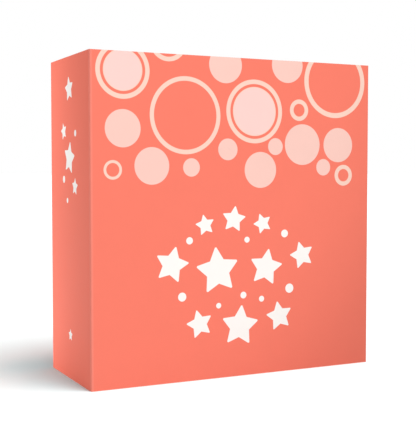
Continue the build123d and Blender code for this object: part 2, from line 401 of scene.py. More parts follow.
def board_fibre_group():
    """Grey pulp board: mottled, with light and dark flecks."""
    dark_pulp, pale_fleck, fleck_share = (0.33, 0.30, 0.26, 1.0), (0.75, 0.72, 0.66, 1.0), 0.5
    tree, given, end = new_group("Board fibre", ("Place", "Colour"), ("Colour", "Height"))
    pulp = noise(tree, given["Place"], scale=1.1, detail=5.0, roughness=0.7)
    specks = noise(tree, given["Place"], scale=3.0, detail=2.0, roughness=0.4)
    flecks = ramp(tree, specks, low=0.62, high=0.72, end=fleck_share)
    mottled = mix(tree, ramp(tree, pulp, low=0.3, high=0.7), given["Colour"], dark_pulp)
    feed(tree, end, {"Colour": mix(tree, flecks, mottled, pale_fleck), "Height": pulp})
    return tree


def weave_group():
    """Plain weave: height of crossing threads, and a shade painted darker in the hollows between them,
    with a random unevenness besides.
    """
    hollow_shade, uneven_shade, ground_shade = 0.05, 0.08, 0.90
    tree, given, end = new_group("Weave", ("Place", "Threads per mm"), ("Shade", "Height"))
    x, _, z = split(tree, given["Place"])
    turns = calc(tree, "MULTIPLY", given["Threads per mm"], math.pi)
    waves = [calc(tree, "SINE", calc(tree, "MULTIPLY", along, turns)) for along in (x, z)]
    height = calc(tree, "ABSOLUTE", calc(tree, "SUBTRACT", *waves))
    uneven = noise(tree, given["Place"], scale=0.8, detail=3.0)
    ground = calc(tree, "MULTIPLY_ADD", uneven, uneven_shade, ground_shade)
    # Painted shade: the threads are painted darker where they sink between crossings
    shade = calc(tree, "MULTIPLY_ADD", height, hollow_shade, ground)
    feed(tree, end, {"Shade": shade, "Height": height})
    return tree


def wood_grain_group():
    """Flat-sawn beech: long grain lines across the tray, short dark flecks and pores."""
    band_draw, fleck_draw, pore_draw = (0.010, 0.10, 0.075), (0.22, 2.2, 2.2), (0.5, 5.0, 5.0)
    ring_density, band_share, fleck_share = 46.0, 0.55, 0.5
    pore_gloss, ground_gloss, fleck_height = 0.15, 0.50, -0.5
    tree, given, end = new_group(
        "Wood grain", ("Place", "Light", "Dark"), ("Colour", "Roughness", "Height")
    )
    bands_place, flecks_place, pores_place = (
        move(tree, "MULTIPLY", given["Place"], draw) for draw in (band_draw, fleck_draw, pore_draw)
    )
    bend = noise(tree, bands_place, scale=1.0, detail=3.0, roughness=0.55)
    rings = calc(tree, "SINE", calc(tree, "MULTIPLY", bend, ring_density))
    bands = ramp(tree, rings, low=-0.9, high=1.0)
    specks = noise(tree, flecks_place, scale=1.0, detail=3.0, roughness=0.6)
    flecks = ramp(tree, specks, low=0.60, high=0.72)
    pores = noise(tree, pores_place, scale=1.0)
    body = mix(tree, calc(tree, "MULTIPLY", bands, band_share), given["Light"], given["Dark"])
    flecked = mix(tree, calc(tree, "MULTIPLY", flecks, fleck_share), body, given["Dark"])
    gloss = calc(tree, "MULTIPLY_ADD", pores, pore_gloss, ground_gloss)
    height = calc(tree, "MULTIPLY_ADD", flecks, fleck_height, pores)
    feed(tree, end, {"Colour": flecked, "Roughness": gloss, "Height": height})
    return tree


def foam_cell_group():
    """Fine closed cells of foam, painted darker in their pits as painted shade."""
    cell_density, pit_shade = 1.6, 0.72
    tree, given, end = new_group("Foam cell", ("Place", "Colour"), ("Colour", "Height"))
    inputs = {"Vector": given["Place"], "Scale": cell_density}
    cells = put(tree, "ShaderNodeTexVoronoi", inputs).outputs["Distance"]
    # Painted shade: the tone falls towards the middle of each cell, where the surface sinks
    tone = ramp(tree, cells, low=0.05, high=0.5, start=pit_shade)
    feed(tree, end, {"Colour": shaded(tree, given["Colour"], tone), "Height": cells})
    return tree


GROUP_MAKERS = {
    "Printed ring": printed_ring_group,
    "Printed star": printed_star_group,
    "Paper surface": paper_surface_group,
    "Rubbed edge": rubbed_edge_group,
    "Board fibre": board_fibre_group,
    "Weave": weave_group,
    "Wood grain": wood_grain_group,
    "Foam cell": foam_cell_group,
}


def effect(tree, name, inputs):
    """Place a shared effect, built once, with its own values."""
    group = bpy.data.node_groups.get(name) or GROUP_MAKERS[name]()
    return put(tree, "ShaderNodeGroup", inputs, node_tree=group).outputs


def new_material(name, **constants):
    """A material with its principled shader and its place on the object in millimetres."""
    material = bpy.data.materials.new(name)
    material.use_nodes = True
    tree = material.node_tree
    shader = tree.nodes["Principled BSDF"]
    for socket, value in constants.items():
        shader.inputs[socket.replace("_", " ")].default_value = value
    place = put(tree, "ShaderNodeTexCoord").outputs["Object"]
    return material, tree, shader, move(tree, "MULTIPLY", place, (1 / MM,) * 3)


def bump(tree, shader, height, distance, strength=1.0):
    """Feed a height to the shader's normal. The distance is in metres."""
    made = put(tree, "ShaderNodeBump", {"Height": height, "Distance": distance, "Strength": strength})
    tree.links.new(made.outputs[0], shader.inputs["Normal"])


def wear(node, material):
    """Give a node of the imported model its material."""
    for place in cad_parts[node].material_slots:
        place.material = material


# Printed paper of the case

def strongest(tree, masks):
    """The union of several masks."""
    whole = masks[0]
    for mask in masks[1:]:
        whole = calc(tree, "MAXIMUM", whole, mask)
    return whole


def ring_mask(tree, place, across, up, radius, width):
    """Mask of one printed ring. A disc is a ring wider than its radius."""
    inputs = {"Place": place, "Centre": (across, up, 0.0), "Radius": radius, "Width": width}
    return effect(tree, "Printed ring", inputs)["Mask"]


def star_masks(tree, place, stars, specks):
    """Union of the printed stars and the round specks between them."""
    masks = []
    for across, up, radius, turn in stars:
        inputs = {"Place": place, "Centre": (across, up, 0.0), "Radius": radius}
        masks.append(effect(tree, "Printed star", inputs | {"Turn": math.radians(turn)})["Mask"])
    for across, up, radius in specks:
        masks.append(ring_mask(tree, place, across, up, radius, 2 * radius))
    return strongest(tree, masks)


def bubble_masks(tree, place):
    """Masks of the printed bubbles: pale discs, cream rings, and the discs inside rings."""
    masks = {"pale": [], "cream": [], "blush": []}

    def ring(colour, *sizes):
        masks[colour].append(ring_mask(tree, place, *sizes))

    for kind, across, up, radius in BUBBLES:
        if kind == "disc":
            ring("pale", across, up, radius, 2 * radius)
            continue
        ring("cream", across, up, radius, RING_WIDTH[kind])
        if kind == "ringed":
            disc = radius - RING_WIDTH[kind] - RINGED_GAP
            ring("cream", across, up, disc, RINGED_RIM)
            ring("blush", across, up, disc - RINGED_RIM / 2, 2 * disc)
    return {colour: strongest(tree, found) for colour, found in masks.items()}


def front_print(tree, place, ground, inks):
    """Bubbles along the head, stars below. The print runs on round the edges into the turn-ins."""
    x, y, z = split(tree, place)
    turned_in = calc(tree, "GREATER_THAN", y, (FRONT + PANEL / 2) / MM)
    beyond = calc(tree, "SUBTRACT", HEAD / MM, z)
    up = calc(tree, "MULTIPLY_ADD", calc(tree, "MULTIPLY", turned_in, 2.0), beyond, z)
    flat = join(tree, x, up, 0.0)
    colour = ground
    for ink, mask in bubble_masks(tree, flat).items():
        colour = mix(tree, mask, colour, rgba(getattr(inks, ink)))
    return mix(tree, star_masks(tree, flat, COVER_STARS, COVER_SPECKS), colour, rgba(inks.white))


def spine_print(tree, place, ground, inks):
    """A short column of stars up the spine."""
    x, y, z = split(tree, place)
    outside = calc(tree, "LESS_THAN", x, (LEFT + PANEL / 2) / MM)
    flat = join(tree, calc(tree, "MULTIPLY", y, -1.0), z, 0.0)
    stars = star_masks(tree, flat, SPINE_STARS, SPINE_SPECKS)
    return mix(tree, calc(tree, "MULTIPLY", stars, outside), ground, rgba(inks.white))


def cover_paper(name, figure=None):
    """Coral printed paper, matt-laminated, worn lighter along the edges of the box, with a painted
    highlight along the fold beside the spine.
    """
    reach, highlight_core, highlight_reach = 0.5, 0.5, 1.3
    inks = settings()[0]
    material, tree, shader, place = new_material(name, Specular_IOR_Level=0.04)
    ground = rgba(inks.coral)
    colour = figure(tree, place, ground, inks) if figure else ground
    paper = effect(tree, "Paper surface", {"Place": place, "Colour": colour})
    middle = [(low + high) / 2 / MM for low, high in zip(*CAD_BOX)]
    half = [(high - low) / 2 / MM for low, high in zip(*CAD_BOX)]
    inputs = {"Place": place, "Middle": middle, "Half size": half, "Reach": reach}
    edges = effect(tree, "Rubbed edge", inputs)
    x, y, _ = split(tree, place)
    # Painted highlight: a narrow band along the fold between spine and front is painted lighter, as a line
    # of light on the fold
    fold_line = ((LEFT + FOLD / 2) / MM, (FRONT + FOLD / 2) / MM, 0.0)
    from_fold = move(tree, "DISTANCE", join(tree, x, y, 0.0), fold_line)
    fold_highlight = ramp(tree, from_fold, low=highlight_core, high=highlight_reach, start=1.0, end=0.0)
    # Real edge wear and the painted fold highlight both lighten the paper towards blush
    lighter = calc(tree, "MULTIPLY", calc(tree, "MAXIMUM", edges["Mask"], fold_highlight), inks.rub)
    worn_and_highlit = mix(tree, lighter, paper["Colour"], rgba(inks.blush))
    feed(tree, shader, {"Base Color": worn_and_highlit, "Roughness": paper["Roughness"]})
    bump(tree, shader, paper["Height"], distance=0.012 * MM, strength=0.5)
    return material


# Boards and linings

def grey_board():
    """Unbleached grey board, under the paper of every panel and of the tray."""
    pulp = (0.46, 0.43, 0.38, 1.0)
    material, tree, shader, place = new_material("Grey board", Roughness=0.92)
    board = effect(tree, "Board fibre", {"Place": place, "Colour": pulp})
    feed(tree, shader, {"Base Color": board["Colour"]})
    bump(tree, shader, board["Height"], distance=0.08 * MM, strength=0.7)
    return material


def lining_paper():
    """Uncoated paper with small printed dots in a half-drop repeat."""
    pitch, dot, ink_share = 7.0, 0.9, 0.75
    inks, inside, _ = settings()
    material, tree, shader, place = new_material("Dotted lining paper", Roughness=0.7)
    x, y, z = split(tree, place)
    across = calc(tree, "ADD", x, y)
    tile = calc(tree, "FLOOR", calc(tree, "DIVIDE", across, pitch))
    drop = calc(tree, "MULTIPLY_ADD", tile, pitch / 2, z)
    cell = [
        calc(tree, "SUBTRACT", calc(tree, "FLOORED_MODULO", value, pitch), pitch / 2)
        for value in (across, drop)
    ]
    dots = ring_mask(tree, join(tree, *cell, 0.0), 0.0, 0.0, dot, 2 * dot)
    printed = mix(tree, calc(tree, "MULTIPLY", dots, ink_share), rgba(inside.lining), rgba(inks.coral))
    paper = effect(tree, "Paper surface", {"Place": place, "Colour": printed})
    feed(tree, shader, {"Base Color": paper["Colour"]})
    bump(tree, shader, paper["Height"], distance=0.02 * MM, strength=0.6)
    return material


def tray_paper():
    """Linen-embossed paper on the tray. The emboss turns onto its sides, head and tail."""
    edge, threads = 0.1, 2.2
    inside = settings()[1]
    material, tree, shader, place = new_material("Tray paper", Roughness=0.62)
    low, high = (Vector(corner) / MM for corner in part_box("tray_wrap"))
    middle, half = (low + high) / 2, (high - low) / 2
    x, y, z = split(tree, place)
    aside = calc(tree, "ABSOLUTE", calc(tree, "SUBTRACT", x, middle.x))
    above = calc(tree, "ABSOLUTE", calc(tree, "SUBTRACT", z, middle.z))
    on_side = calc(tree, "GREATER_THAN", aside, half.x - edge)
    on_head = calc(tree, "GREATER_THAN", above, half.z - edge)
    across = calc(tree, "MULTIPLY_ADD", on_side, calc(tree, "SUBTRACT", y, x), x)
    along = calc(tree, "MULTIPLY_ADD", on_head, calc(tree, "SUBTRACT", y, z), z)
    weave = effect(tree, "Weave", {"Place": join(tree, across, y, along), "Threads per mm": threads})
    paper = effect(tree, "Paper surface", {"Place": place, "Colour": rgba(inside.tray_paper)})
    feed(tree, shader, {"Base Color": shaded(tree, paper["Colour"], weave["Shade"])})
    bump(tree, shader, weave["Height"], distance=0.03 * MM, strength=0.6)
    return material


# Metal, wood, foam, cloth and glass

def metal(name, colour, roughness, scratch):
    """Plated or brushed metal with fine scratches along one direction."""
    line_shade, ground_shade, line_roughness = 0.12, 0.92, 0.2
    material, tree, shader, place = new_material(name, Metallic=1.0)
    drawn = move(tree, "MULTIPLY", place, scratch)
    lines = noise(tree, drawn, scale=1.0, detail=4.0, roughness=0.6)
    tone = calc(tree, "MULTIPLY_ADD", lines, line_shade, ground_shade)
    gloss = calc(tree, "MULTIPLY_ADD", lines, line_roughness, roughness)
    feed(tree, shader, {"Base Color": shaded(tree, rgba(colour), tone), "Roughness": gloss})
    bump(tree, shader, lines, distance=0.006 * MM, strength=0.5)
    return material


def beech():
    """Sanded beech without varnish."""
    inside = settings()[1]
    material, tree, shader, place = new_material("Sanded beech")
    inputs = {"Place": place, "Light": rgba(inside.light_wood), "Dark": rgba(inside.dark_wood)}
    grain = effect(tree, "Wood grain", inputs)
    feed(tree, shader, {"Base Color": grain["Colour"], "Roughness": grain["Roughness"]})
    bump(tree, shader, grain["Height"], distance=0.03 * MM, strength=0.6)
    return material


def burnt_number():
    """Numbers burnt into the wood."""
    soot = (0.06, 0.03, 0.015, 1.0)
    inside = settings()[1]
    material, tree, shader, place = new_material("Burnt number", Roughness=0.8)
    char = noise(tree, place, scale=2.0, detail=3.0)
    feed(tree, shader, {"Base Color": mix(tree, char, soot, rgba(inside.dark_wood))})
    bump(tree, shader, char, distance=0.02 * MM, strength=0.5)
    return material


def foam(name, colour):
    """Closed-cell foam."""
    material, tree, shader, place = new_material(name, Roughness=0.85)
    cells = effect(tree, "Foam cell", {"Place": place, "Colour": rgba(colour)})
    feed(tree, shader, {"Base Color": cells["Colour"]})
    bump(tree, shader, cells["Height"], distance=0.1 * MM, strength=0.5)
    return material


def sateen(name, colour):
    """Cotton sateen with a soft sheen."""
    threads = 5.0
    material, tree, shader, place = new_material(
        name, Roughness=0.52, Sheen_Weight=0.45, Sheen_Roughness=0.4
    )
    weave = effect(tree, "Weave", {"Place": place, "Threads per mm": threads})
    feed(tree, shader, {"Base Color": shaded(tree, rgba(colour), weave["Shade"])})
    bump(tree, shader, weave["Height"], distance=0.02 * MM, strength=0.6)
    return material


def clear_glass():
    """Clear soda glass with the faintest unevenness, which lets the lamps through."""
    tint, lamp_tint = (0.94, 0.98, 0.96, 1.0), (0.86, 0.90, 0.88, 1.0)
    material, tree, shader, place = new_material(
        "Clear glass", Base_Color=tint, Roughness=0.03, IOR=1.5, Transmission_Weight=1.0
    )
    bump(tree, shader, noise(tree, place, scale=0.25), distance=0.05 * MM, strength=0.2)
    lamp_ray = put(tree, "ShaderNodeLightPath").outputs["Is Shadow Ray"]
    clear = put(tree, "ShaderNodeBsdfTransparent", {"Color": lamp_tint}).outputs[0]
    both = put(tree, "ShaderNodeMixShader", {0: lamp_ray, 1: shader.outputs[0], 2: clear}).outputs[0]
    feed(tree, tree.nodes["Material Output"], {"Surface": both})
    return material


# Meshes

def slab(low, high):
    """A bmesh block between two corners."""
    bm = bmesh.new()
    bmesh.ops.create_cube(bm, size=1)
    low, high = Vector(low), Vector(high)
    size = high - low
    place = Matrix.Translation((low + high) / 2) @ Matrix.Diagonal((*size, 1))
    bmesh.ops.transform(bm, matrix=place, verts=bm.verts)
    return bm


def finish_mesh(bm, name, material, smooth=True):
    """Turn a bmesh into an object at the origin."""
    bmesh.ops.remove_doubles(bm, verts=bm.verts, dist=MERGE)
    bmesh.ops.recalc_face_normals(bm, faces=bm.faces)
    mesh = bpy.data.meshes.new(name)
    bm.to_mesh(mesh)
    bm.free()
    mesh.materials.append(material)
    for face in mesh.polygons:
        face.use_smooth = smooth
    made = bpy.data.objects.new(name, mesh)
    bpy.context.scene.collection.objects.link(made)
    return made


def sharpen(made, angle=math.radians(35)):
    """Keep edges steeper than an angle sharp on a smooth-shaded mesh."""
    bm = bmesh.new()
    bm.from_mesh(made.data)
    for edge in bm.edges:
        edge.smooth = not (edge.is_manifold and edge.calc_face_angle(0) > angle)
    bm.to_mesh(made.data)
    bm.free()


def evaluated_mesh(made):
    """A new mesh of an object, as its modifiers or its curve leave it."""
    return bpy.data.meshes.new_from_object(made.evaluated_get(bpy.context.evaluated_depsgraph_get()))


def shape_of(curve):
    """The mesh of a curve or a text, which is used up."""
    holder = bpy.data.objects.new(curve.name, curve)
    bpy.context.scene.collection.objects.link(holder)
    bpy.context.view_layer.update()
    mesh = evaluated_mesh(holder)
    bpy.data.objects.remove(holder)
    bpy.data.curves.remove(curve)
    return mesh


def lay(bm, mesh, place):
    """Add a mesh to a bmesh at its place. The mesh is used up."""
    mesh.transform(place)
    bm.from_mesh(mesh)
    bpy.data.meshes.remove(mesh)


def merged_copy(node, edge_round):
    """A copy of a node's mesh, merged, with its sharp edges rounded."""
    flat, sharp = math.radians(2), math.radians(50)
    bm = bmesh.new()
    bm.from_mesh(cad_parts[node].data)
    bmesh.ops.remove_doubles(bm, verts=bm.verts, dist=MERGE)
    bmesh.ops.dissolve_limit(bm, angle_limit=flat, verts=bm.verts, edges=bm.edges)
    rounded = [e for e in bm.edges if e.is_manifold and e.calc_face_angle(0) > sharp]
    bmesh.ops.bevel(
        bm, geom=rounded, offset=edge_round, segments=3, profile=0.5, affect="EDGES", material=-1,
        clamp_overlap=True,
    )
    return bm


class TOOTHBOX_OT_paper(bpy.types.Operator):
    """Print and laminate the cover paper"""

    bl_idname = "tooth_box.paper"
    bl_label = "Cover paper"

    def execute(self, context):
        wear("front_wrap", cover_paper("Coral paper with bubbles", front_print))
        wear("spine_wrap", cover_paper("Coral paper with stars", spine_print))
        plain = cover_paper("Coral paper")
        wear("back_wrap", plain)
        wear("flap_wrap", plain)
        return {"FINISHED"}


class TOOTHBOX_OT_boards(bpy.types.Operator):
    """Give the boards and linings their pulp, dots and linen grain"""

    bl_idname = "tooth_box.boards"
    bl_label = "Boards and linings"

    def execute(self, context):
        board = grey_board()
        dotted = lining_paper()
        linen = tray_paper()
        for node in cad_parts:
            if node.endswith("_board") or node.endswith("_wall"):
                wear(node, board)
            elif node == "tray_wrap" or node == "tray_lining":
                wear(node, linen)
            elif node.endswith("_lining"):
                wear(node, dotted)
        return {"FINISHED"}


def crease(name, low, high, material):
    """Paper that bridges a hinge on the outside, cut into short lengths along the hinge."""
    cuts = 15
    bm = slab(low, high)
    lengthwise = [e for e in bm.edges if abs((e.verts[0].co - e.verts[1].co).z) > MM]
    bmesh.ops.subdivide_edges(bm, edges=lengthwise, cuts=cuts, use_grid_fill=True)
    made = finish_mesh(bm, name, material, smooth=False)
    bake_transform(made)


def mitre_sheet(name, body, foot, inner, side, material):
    """Paper glued on a mitred board edge, from the hinge to the inner face. Its side is +1 or -1."""
    thickness, clear, end_margin = 0.03 * MM, 0.3 * MM, 0.5 * MM
    foot, inner = Vector(foot), Vector(inner)
    run = inner - foot
    near, far = sorted((0, side * thickness))
    bm = slab((clear, near, TAIL + end_margin), (run.length, far, HEAD - end_margin))
    turn = Matrix.Rotation(math.atan2(run.y, run.x), 4, "Z")
    bmesh.ops.transform(bm, matrix=Matrix.Translation((foot.x, foot.y, 0)) @ turn, verts=bm.verts)
    made = finish_mesh(bm, name, material, smooth=False)
    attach(made, body)


class TOOTHBOX_OT_creases(bpy.types.Operator):
    """Close the two paper hinges outside and line their grooves inside"""

    bl_idname = "tooth_box.creases"
    bl_label = "Hinge creases"

    def execute(self, context):
        depth = 0.12 * MM
        coral = bpy.data.materials["Coral paper"]
        spine_line, flap_line = LEFT + FOLD, FRONT + FOLD
        low = (spine_line - HINGE_GAP, FRONT, TAIL)
        high = (spine_line, FRONT + depth, HEAD)
        crease("spine_crease", low, high, coral)
        low = (RIGHT - depth, flap_line - HINGE_GAP, TAIL)
        high = (RIGHT, flap_line, HEAD)
        crease("flap_crease", low, high, coral)
        tray_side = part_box("tray_wrap")[0].x
        short = tray_side - (spine_line - HINGE_GAP)
        grooves = (
            ("spine_groove_lining", CASE, (spine_line - HINGE_GAP, FRONT), (1, 1), short, -1),
            ("front_groove_lining", COVER, (spine_line, FRONT), (1, 1), PANEL, 1),
            ("front_flap_groove_lining", COVER, (RIGHT, flap_line - HINGE_GAP), (-1, 1), short, -1),
            ("flap_groove_lining", FLAP, (RIGHT, flap_line), (-1, 1), PANEL, 1),
        )
        for name, body, foot, heading, run, side in grooves:
            inner = (foot[0] + heading[0] * run, foot[1] + heading[1] * run)
            mitre_sheet(name, body, foot, inner, side, coral)
        return {"FINISHED"}


class TOOTHBOX_OT_closure(bpy.types.Operator):
    """Plate the magnets and the steel discs"""

    bl_idname = "tooth_box.closure"
    bl_label = "Magnets and discs"

    def execute(self, context):
        nickel = metal("Nickel plate", (0.72, 0.70, 0.66), roughness=0.12, scratch=(3.0, 3.0, 3.0))
        steel = metal("Bright steel", (0.56, 0.57, 0.58), roughness=0.3, scratch=(8.0, 8.0, 0.8))
        wear("wall_magnets", nickel)
        wear("flap_steel_discs", steel)
        return {"FINISHED"}


def number_places():
    """Where each well's number stands: on the inner side of its arch."""
    inward, wells, setback = 10.5 * MM, 10, 13.0 * MM
    side_margin, end_margin = 17.05 * MM, 14.2 * MM
    low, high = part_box("tooth_tray")
    half_width = (high.x - low.x) / 2 - side_margin
    rise = (high.z - low.z) / 2 - setback - end_margin
    places = []
    for jaw in (1, -1):
        for well in range(wells):
            angle = math.pi * (wells - 1 - well) / (wells - 1)
            outward = Vector((math.cos(angle), jaw * math.sin(angle)))
            centre = Vector((half_width * outward.x, jaw * setback + rise * outward.y))
            across, up = centre - inward * outward
            places.append(((low.x + high.x) / 2 + across, low.y, MIDDLE + up))
    return places


class TOOTHBOX_OT_tray(bpy.types.Operator):
    """Give the wooden tray its grain and burn the numbers in beside its wells"""

    bl_idname = "tooth_box.tray"
    bl_label = "Tooth tray"

    def execute(self, context):
        wear("tooth_tray", beech())
        proud = 0.06 * MM
        upright = Matrix.Rotation(math.pi / 2, 4, "X")
        bm = bmesh.new()
        for number, place in enumerate(number_places(), start=1):
            text = bpy.data.curves.new("number", "FONT")
            text.body = str(number)
            text.size = settings()[1].number_height
            text.extrude = proud
            text.align_x, text.align_y = "CENTER", "CENTER"
            lay(bm, shape_of(text), Matrix.Translation(place) @ upright)
        numbers = finish_mesh(bm, "well_numbers", burnt_number(), smooth=False)
        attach(numbers, CASE)
        return {"FINISHED"}


class TOOTHBOX_OT_foam(bpy.types.Operator):
    """Cut the foam bed and the cap's liner"""

    bl_idname = "tooth_box.foam"
    bl_label = "Foam"

    def execute(self, context):
        bed_foam = foam("Foam bed", (0.62, 0.58, 0.54))
        bed = finish_mesh(merged_copy("foam_bed", edge_round=0.8 * MM), "soft_foam_bed", bed_foam)
        sharpen(bed)
        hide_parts("foam_bed")
        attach(bed, CASE)
        liner_foam = foam("Liner foam", (0.8, 0.8, 0.78))
        liner = finish_mesh(merged_copy("cap_liner", edge_round=0.2 * MM), "soft_cap_liner", liner_foam)
        sharpen(liner)
        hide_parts("cap_liner")
        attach(liner, SEAL)
        return {"FINISHED"}


def pad_start(low, high):
    """The pad before it swells: a slack slab with rounded corners, flat on the cover."""
    side_slack, face_slack = 1.6 * MM, 3.0 * MM
    bm = slab(
        (low.x + side_slack, low.y, low.z + side_slack),
        (high.x - side_slack, high.y - face_slack, high.z - side_slack),
    )
    upright = [e for e in bm.edges if abs((e.verts[0].co - e.verts[1].co).y) > MM]
    bmesh.ops.bevel(
        bm, geom=upright, offset=PAD_CORNER, segments=5, profile=0.5, affect="EDGES", material=-1
    )
    return bm


def applied(made):
    """Bake the modifiers of an object into its mesh."""
    mesh = evaluated_mesh(made)
    made.modifiers.clear()
    made.data = mesh


def swell(made, glued_below, cap):
    """Blow the pad up as cloth with its back glued down, moving no point further than the cap."""
    voxel, pressure, frames = 4 * MM, 4, 20
    remesh = made.modifiers.new("Remesh", "REMESH")
    remesh.mode = "VOXEL"
    remesh.voxel_size = voxel
    applied(made)
    start = [v.co.copy() for v in made.data.vertices]
    glued = made.vertex_groups.new(name="glued")
    glued.add([i for i, co in enumerate(start) if co.y < glued_below], 1.0, "REPLACE")
    cloth = made.modifiers.new("Cloth", "CLOTH")
    cloth.settings.use_pressure = True
    cloth.settings.uniform_pressure_force = pressure
    cloth.settings.effector_weights.gravity = 0
    cloth.settings.vertex_group_mass = "glued"
    for number in range(1, frames + 1):
        bpy.context.scene.frame_set(number)
    applied(made)
    bpy.context.scene.frame_set(1)
    for vertex, rest in zip(made.data.vertices, start):
        shift = vertex.co - rest
        if shift.length > cap:
            vertex.co = rest + shift * (cap / shift.length)
    made.vertex_groups.clear()


def draw_in(made, low, high, pitch, depth):
    """Press the sewn channels into the pad's face and keep it inside its space."""
    half_channel, edge_fade, clearance = 1.6 * MM, 9 * MM, 0.1 * MM
    foot_share, steepness = 0.3, 1.4
    middle = (low + high) / 2
    corners = [Vector(c) for c in made.bound_box]
    top = max(c.y for c in corners)
    for vertex in made.data.vertices:
        co = vertex.co
        share = (co.y - low.y) / (top - low.y)
        if share > foot_share:
            rises = [(co.x - middle.x) + sign * (co.z - middle.z) for sign in (-1, 1)]
            gaps = [abs((rise / pitch + 0.5) % 1 - 0.5) * pitch / math.sqrt(2) for rise in rises]
            border = min(co.x - low.x, high.x - co.x, co.z - low.z, high.z - co.z)
            fade = min(1, max(0, border / edge_fade))
            pull = max(math.exp(-((gap / half_channel) ** steepness)) for gap in gaps)
            pressed = depth * pull * fade * share
        else:
            pressed = 0
        co.y = low.y + share * (high.y - clearance - low.y) - pressed
        co.y = max(co.y, low.y)


def stitches(pad, low, high, pitch):
    """Thread in the sewn channels: one small spindle for each stitch, laid on the pad."""
    spacing, margin, lift = 3.0 * MM, 4.0 * MM, 0.18 * MM
    spindle = Vector((0.95, 0.24, 0.24)) * MM
    surface = BVHTree.FromPolygons(
        [v.co for v in pad.data.vertices], [face.vertices for face in pad.data.polygons]
    )
    middle, half = (low + high) / 2, (high - low) / 2
    lines = int((half.x + half.z) / pitch)
    reach = int(half.length / spacing)
    one = bmesh.new()
    bmesh.ops.create_uvsphere(one, u_segments=6, v_segments=4, radius=1)
    bmesh.ops.transform(one, matrix=Matrix.Diagonal((*spindle, 1)), verts=one.verts)
    stitch = bpy.data.meshes.new("stitch")
    one.to_mesh(stitch)
    one.free()
    bm = bmesh.new()
    for sign in (-1, 1):
        turn = Matrix.Rotation(sign * math.pi / 4, 4, "Y")
        for line in range(-lines, lines + 1):
            for number in range(-reach, reach + 1):
                along = (number + 0.5) * spacing / math.sqrt(2)
                across, up = line * pitch / 2 + along, sign * (line * pitch / 2 - along)
                if abs(across) > half.x - margin or abs(up) > half.z - margin:
                    continue
                above = Vector((middle.x + across, high.y + MM, middle.z + up))
                spot_on_pad = surface.ray_cast(above, Vector((0, -1, 0)))[0]
                if spot_on_pad is None:
                    continue
                raised = spot_on_pad + Vector((0, lift, 0))
                lay(bm, stitch.copy(), Matrix.Translation(raised) @ turn)
    bpy.data.meshes.remove(stitch)
    return bm


def piping(low, high):
    """A thin covered cord sewn round the foot of the pad."""
    radius, curve_share = 0.8 * MM, 0.5523
    corners = ((1, -1), (1, 1), (-1, 1), (-1, -1))
    line = bpy.data.curves.new("piping", "CURVE")
    line.dimensions = "3D"
    line.bevel_depth, line.bevel_resolution, line.resolution_u = radius, 3, 6
    spline = line.splines.new("BEZIER")
    spline.bezier_points.add(2 * len(corners) - 1)
    spline.use_cyclic_u = True
    depth = low.y + radius
    middle, half = (low + high) / 2, (high - low) / 2
    points = iter(spline.bezier_points)
    for number, (right, head) in enumerate(corners):
        tip = Vector((middle.x + right * (half.x - radius), depth, middle.z + head * (half.z - radius)))
        sides = [Vector((-right, 0, 0)) * PAD_CORNER, Vector((0, 0, -head)) * PAD_CORNER]
        if number % 2:
            sides.reverse()
        for side, (before, after) in zip(sides, ((0, 1), (1, 0))):
            point = next(points)
            point.handle_left_type = point.handle_right_type = "FREE"
            point.co = tip + side
            inward = tip + side * (1 - curve_share)
            point.handle_left = inward if before else point.co
            point.handle_right = inward if after else point.co
    bm = bmesh.new()
    lay(bm, shape_of(line), Matrix())
    return bm


class TOOTHBOX_OT_pad(bpy.types.Operator):
    """Sew the quilted pad on the front cover, with its stitches and piping"""

    bl_idname = "tooth_box.pad"
    bl_label = "Quilted pad"

    def execute(self, context):
        inside = settings()[1]
        low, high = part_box("lid_pad")
        cloth = sateen("Quilted sateen", inside.pad_cloth)
        pad = finish_mesh(pad_start(low, high), "quilted_pad", cloth)
        swell(pad, glued_below=low.y + 1 * MM, cap=4 * MM)
        smoother = pad.modifiers.new("Smoother", "SUBSURF")
        smoother.levels = smoother.render_levels = 2
        applied(pad)
        draw_in(pad, low, high, inside.quilt_pitch, inside.quilt_depth)
        for face in pad.data.polygons:
            face.use_smooth = True
        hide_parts("lid_pad")
        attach(pad, COVER)
        trim = sateen("Coral piping and thread", settings()[0].coral)
        thread = finish_mesh(stitches(pad, low, high, inside.quilt_pitch), "pad_stitches", trim)
        welt = finish_mesh(piping(low, high), "pad_piping", trim)
        for piece in (thread, welt):
            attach(piece, COVER)
        return {"FINISHED"}


def neck_thread():
    """The ridge that the cap screws onto, wound one and a half turns round the neck."""
    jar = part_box("keepsake_jar")
    axis_x, axis_z = (jar[0].x + jar[1].x) / 2, (jar[0].z + jar[1].z) / 2
    neck, ridge, below_rim, pitch = 10.0 * MM, 0.3 * MM, 1.6 * MM, 3.0 * MM
    half_foot, half_crest, sunk = 0.55 * MM, 0.2 * MM, 0.2 * MM
    turns, steps = 1.5, 60
    start = jar[0].y + below_rim
    bm = bmesh.new()
    profile = (
        (neck - sunk, start - half_foot),
        (neck + ridge, start - half_crest),
        (neck + ridge, start + half_crest),
        (neck - sunk, start + half_foot),
    )
    corners = [bm.verts.new((axis_x + reach, depth, axis_z)) for reach, depth in profile]
    bmesh.ops.spin(
        bm, geom=[bm.faces.new(corners)], cent=(axis_x, 0, axis_z), axis=(0, 1, 0),
        dvec=(0, pitch * turns / steps, 0), angle=2 * math.pi * turns, steps=steps, use_merge=False,
    )
    return bm


